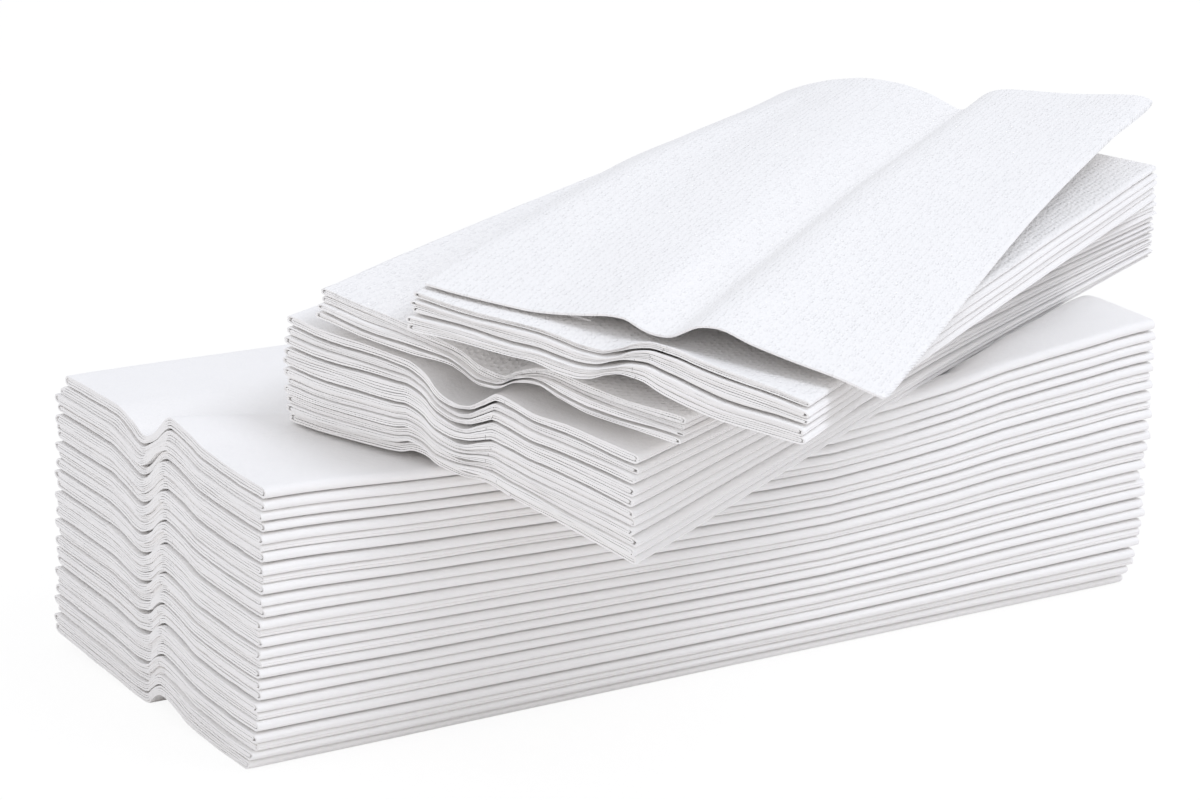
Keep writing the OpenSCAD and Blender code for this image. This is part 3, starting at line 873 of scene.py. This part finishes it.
# %% The open towel
open_panel = np.concatenate([
    np.linspace(1.5, 42, 21), np.linspace(43.5, 70, 22), np.linspace(72, 110, 19)
])
open_back = np.linspace(OPEN_BACK_FLAP, 1.5, 14)
open_front = np.linspace(109.6, OPEN_WIDTH - OPEN_FRONT_FLAP, 12)
open_stations = np.concatenate([
    np.linspace(0, 0.2, 12), np.linspace(0.23, 0.9, 30), np.linspace(0.92, 1, 5)
])
turn = np.radians(np.linspace(-75, 75, 7))
open_v = np.concatenate([
    open_back, 0.9 - 0.9 * np.cos(turn), open_panel, OPEN_WIDTH - 0.6 + 0.6 * np.cos(turn), open_front
])
fold_part = len(turn)
panel_part = len(open_panel)
s_grid, v_grid = np.meshgrid(open_stations, open_v)
v_grid = open_across(s_grid, v_grid)
panel_z = panel_height(s_grid, v_grid)
flap_z = top_under_sheet(s_grid, v_grid) + OPEN_SHEET / 2 + OPEN_FLAP_AIR
front_z = panel_z - OPEN_SHEET - OPEN_FRONT_GAP
fold_blend = 0.5 + 0.5 * np.sin(turn)
blend_back = np.concatenate([
    np.zeros(len(open_back)), fold_blend, np.ones(panel_part + fold_part + len(open_front))
])[:, None]
blend_front = np.concatenate([
    np.zeros(len(open_back) + fold_part + panel_part), fold_blend, np.ones(len(open_front))
])[:, None]
open_z = (1 - blend_back) * flap_z + blend_back * ((1 - blend_front) * panel_z + blend_front * front_z)
tuck = FLAP_TUCK * (1 - blend_back + blend_front) * (1 - 2 * s_grid)
open_x, open_y = open_place(s_grid + tuck, v_grid)
open_points = np.stack([open_x + CENTRE_X, open_y + CENTRE_Y, open_z], -1)
open_steps = np.hypot(np.diff(open_v), np.diff(open_z[:, 0]))
open_flat = np.concatenate([[0], np.cumsum(open_steps)])
open_uv = np.stack([s_grid * LENGTH, np.tile(open_flat[:, None], (1, len(open_stations)))], -1)
open_paper = join([sheet_from_grid("open_sheet", open_points, open_uv, OPEN_SHEET)], "open_towel_paper")
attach(open_paper, "root")
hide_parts("open_towel")
papers.append(open_paper)
print("open towel's flat width:", round(open_flat[-1], 1), "mm")


# %% [markdown]
# ## Shader expressions
# Paper's patterns are sums and products of simple fields. Adding and linking every Math node by hand hides
# the sum in a list of calls, so a small class stands for a node's output, and an operator on it adds the
# node. The real object has nothing like it: it is only a way to write shaders that can be read.

# %% Shader expressions
class Signal:
    """An output of a shader node. Operators on signals add Math nodes."""

    def __init__(self, maker, socket):
        self.maker = maker
        self.socket = socket

    def math(self, operation, *values):
        inputs = dict(enumerate((self,) + values))
        return self.maker.node("ShaderNodeMath", {"operation": operation}, inputs)

    def __add__(self, other):
        return self.math("ADD", other)

    def __mul__(self, other):
        return self.math("MULTIPLY", other)

    def __sub__(self, other):
        return self.math("SUBTRACT", other)

    def __rsub__(self, other):
        return self.maker.node("ShaderNodeMath", {"operation": "SUBTRACT"}, {0: other, 1: self})

    def __truediv__(self, other):
        return self.math("DIVIDE", other)

    __radd__ = __add__
    __rmul__ = __mul__


class Maker:
    """Adds the nodes of one material or world."""

    def __init__(self, tree):
        self.tree = tree
        tree.nodes.clear()

    def node(self, kind, settings=None, inputs=None, output=0):
        added = self.tree.nodes.new(kind)
        for name, value in (settings or {}).items():
            setattr(added, name, value)
        for name, value in (inputs or {}).items():
            if isinstance(value, Signal):
                self.tree.links.new(value.socket, added.inputs[name])
            else:
                added.inputs[name].default_value = value
        return Signal(self, added.outputs[output]) if added.outputs else None


print("operators on signals:", [name for name in vars(Signal) if name.startswith("__r")])

# %% [markdown]
# ## Paper
# Towel paper is a soft, matt, slightly warm white. Light that bounces between the sheets picks the warmth
# up, so the grooves turn brownish grey while the open faces stay cool under the soft light. Its crepe
# makes a fine ripple, and the better sheets have rows of small pressed dimples. Both could be modelled,
# with millions of faces. A bump on the flat sheet's own places costs nothing and turns round the folds
# with the paper, as a pressed pattern does.

# %% Paper materials
WHITE = (0.945, 0.927, 0.91, 1)
SOFT_WHITE = (0.92, 0.902, 0.885, 1)
# Distance between the dimples of a row, and between rows, in millimetres
DIMPLE_STEP = 2.3
DIMPLE_ROW = 1.55
BUMP_HEIGHT = 0.0002


def flat_sheet_places(maker):
    """Place on the flat sheet, in millimetres: along the folds and across them."""
    flat = maker.node("ShaderNodeUVMap", {"uv_map": "UVMap"})
    along = maker.node("ShaderNodeSeparateXYZ", inputs={0: flat}, output=0) * (1 / FLAT_SCALE)
    across = maker.node("ShaderNodeSeparateXYZ", inputs={0: flat}, output=1) * (1 / FLAT_SCALE)
    return along, across


def noise(maker, x, y, detail):
    """Soft random tone at a place on the flat sheet."""
    place = maker.node("ShaderNodeCombineXYZ", inputs={0: x, 1: y})
    return maker.node("ShaderNodeTexNoise", {"noise_dimensions": "2D"},
                      {"Vector": place, "Scale": 1.0, "Detail": detail, "Roughness": 0.6})


def paper(name, emboss):
    """Soft towel paper, with pressed dimples if emboss is over 0."""
    material = bpy.data.materials.new(name)
    material.use_nodes = True
    maker = Maker(material.node_tree)
    along, across = flat_sheet_places(maker)
    crepe = noise(maker, along * 0.55, across * 1.1, 3.0)
    fibre = noise(maker, along * 0.05, across * 2.2, 2.0)
    height = crepe * 0.8 + fibre * 0.4
    if emboss > 0:
        row = across / DIMPLE_ROW
        shift = row.math("FLOOR").math("MODULO", 2.0) * 0.5
        column = along / DIMPLE_STEP + shift
        cell = maker.node("ShaderNodeCombineXYZ", inputs={0: column.math("FLOOR"), 1: row.math("FLOOR")})
        chance = maker.node("ShaderNodeTexWhiteNoise", {"noise_dimensions": "2D"}, {"Vector": cell}, 1)
        chance_x = maker.node("ShaderNodeSeparateXYZ", inputs={0: chance}, output=0) - 0.5
        chance_y = maker.node("ShaderNodeSeparateXYZ", inputs={0: chance}, output=1) - 0.5
        depth = maker.node("ShaderNodeSeparateXYZ", inputs={0: chance}, output=2) * 0.7 + 0.5
        cell_x = column.math("FRACT") - 0.5 + chance_x * 0.3
        cell_y = row.math("FRACT") - 0.5 + chance_y * 0.45
        # A dimple is a blunt spot near its cell's middle, about twice as long along the folds as across
        spot = (cell_x * 2.2).math("POWER", 2.0) + (cell_y * 2.9).math("POWER", 2.0)
        dimple = (1.0 - spot).math("MAXIMUM", 0.0) * depth
        height = height - dimple * emboss
    normal = maker.node("ShaderNodeBump", inputs={
        "Strength": 0.8, "Distance": BUMP_HEIGHT, "Height": height,
    })
    tone = noise(maker, along * 0.03, across * 0.06, 2.0)
    colour = maker.node("ShaderNodeMix", {"data_type": "RGBA"}, {"Factor": tone, 6: SOFT_WHITE, 7: WHITE}, 2)
    surface = maker.node("ShaderNodeBsdfPrincipled", inputs={
        "Base Color": colour, "Roughness": 0.92, "Specular IOR Level": 0.2, "Normal": normal,
    })
    maker.node("ShaderNodeOutputMaterial", inputs={"Surface": surface})
    return material


MATERIALS = {"towel_paper": paper("towel_paper", 0.0), "embossed_paper": paper("embossed_paper", 1.2)}
for piece in papers:
    piece.data.materials.clear()
    embossed = piece is open_paper or piece.name.replace("_paper", "") in EMBOSSED
    piece.data.materials.append(MATERIALS["embossed_paper" if embossed else "towel_paper"])
print("dressed", len(papers), "towels")

# %% [markdown]
# ## Floor
# The heap lies on a white table in an evenly lit studio. A plain white floor would turn grey towards its
# edges, and a floor that only glows would lose the shadow. This one mixes both: to the camera it is mostly
# a white glow, and the rest of it is matt, so the heap's soft shadow still shows.

# %% Floor
FLOOR_GLOW_SHARE = 0.88
deselect()
bpy.ops.mesh.primitive_plane_add(size=8, location=(0, 0, 0))
floor = bpy.context.object
floor.name = "floor"
floor_material = bpy.data.materials.new("floor")
floor_material.use_nodes = True
maker = Maker(floor_material.node_tree)
seen = maker.node("ShaderNodeLightPath", output=0)
seen = seen.math("MAXIMUM", maker.node("ShaderNodeLightPath", output=3))
seen = seen.math("MAXIMUM", maker.node("ShaderNodeLightPath", output=6))
matt = maker.node("ShaderNodeBsdfDiffuse", inputs={"Color": (0.92, 0.9, 0.88, 1)})
glow = maker.node("ShaderNodeEmission", inputs={"Color": (1, 1, 1, 1), "Strength": 1.03})
mixed = maker.node("ShaderNodeMixShader", inputs={0: seen * FLOOR_GLOW_SHARE, 1: matt, 2: glow})
maker.node("ShaderNodeOutputMaterial", inputs={"Surface": mixed})
floor.data.materials.append(floor_material)
print("floor:", floor.dimensions.x, "m wide")

# %% [markdown]
# ## Light
# White paper on white ground shows its form only through soft differences. One hard lamp would draw black
# grooves and burn the tops out. An even, slightly cool sky does most of the work. A large lamp above the
# front right lights the tops most, the long side less and the cut ends least, and a weak warm one at the
# front left opens the pockets between the groups. The camera sees plain white in place of the sky.

# %% Light
world = bpy.data.worlds.new("soft_sky")
world.use_nodes = True
bpy.context.scene.world = world
maker = Maker(world.node_tree)
seen = maker.node("ShaderNodeLightPath", output=0)
sky = maker.node("ShaderNodeBackground", inputs={"Color": (0.96, 0.985, 1.045, 1), "Strength": 0.81})
white = maker.node("ShaderNodeBackground", inputs={"Color": (1, 1, 1, 1), "Strength": 1.0})
mixed = maker.node("ShaderNodeMixShader", inputs={0: seen, 1: sky, 2: white})
maker.node("ShaderNodeOutputWorld", inputs={"Surface": mixed})


def lamp(name, place, aim, size, power, colour):
    """A soft round lamp at a place, turned to its aim."""
    light = bpy.data.lights.new(name, "AREA")
    light.shape = "DISK"
    light.size = size
    light.energy = power
    light.color = colour
    holder = bpy.data.objects.new(name, light)
    holder.location = place
    holder.rotation_euler = (Vector(aim) - Vector(place)).to_track_quat("-Z", "Y").to_euler()
    bpy.context.collection.objects.link(holder)


lamp("key", (0.42, -0.72, 1.3), (0, 0, 0.05), 0.7, 5.7, (0.9, 0.95, 1.05))
lamp("fill", (-1.15, -0.9, 0.5), (0, 0, 0.06), 0.7, 1.7, (1.0, 0.93, 0.87))

# %% [markdown]
# ## Camera
# The camera could be turned by eye until the picture looks right. This one was fitted to the corners of
# both stacks in the photo: its turn, its height, a slight roll and a long lens. The lower stack's middle
# sits a little off the picture's middle, which is done by moving the camera sideways and not by shifting
# the lens.

# %% Camera
AZIMUTH = math.radians(-34.01)
ELEVATION = math.radians(17.89)
ROLL = math.radians(1.7)
DISTANCE = 1.2
PHOTO_SIZE = (1200, 800)
FOCAL_PIXELS = 4854.0
AIM_PIXEL = (613.37, 482.44)
SENSOR = 36.0
back = Vector((math.sin(AZIMUTH) * math.cos(ELEVATION), -math.cos(AZIMUTH) * math.cos(ELEVATION),
               math.sin(ELEVATION)))
level_right = Vector((math.cos(AZIMUTH), math.sin(AZIMUTH), 0))
level_up = back.cross(level_right)
right = level_right * math.cos(ROLL) + level_up * math.sin(ROLL)
up = level_up * math.cos(ROLL) - level_right * math.sin(ROLL)
aim = Vector((CENTRE_X, CENTRE_Y, STACK / 2)) * MM
offset_right = (AIM_PIXEL[0] - PHOTO_SIZE[0] / 2) / FOCAL_PIXELS * DISTANCE
offset_up = (AIM_PIXEL[1] - PHOTO_SIZE[1] / 2) / FOCAL_PIXELS * DISTANCE
camera_data = bpy.data.cameras.new("camera")
camera_data.sensor_width = SENSOR
camera_data.lens = FOCAL_PIXELS * SENSOR / PHOTO_SIZE[0]
camera = bpy.data.objects.new("camera", camera_data)
bpy.context.collection.objects.link(camera)
place = aim + back * DISTANCE - right * offset_right + up * offset_up
camera.matrix_world = Matrix.Translation(place) @ Matrix((right, up, back)).transposed().to_4x4()
bpy.context.scene.camera = camera
bpy.context.scene.view_settings.view_transform = "Standard"
print("camera lens:", round(camera_data.lens, 1), "mm, place:", np.round(place, 3).tolist())

# %% [markdown]
# ## The end
# The paper has to stay within the box of the solids that it stands for, apart from a small margin.
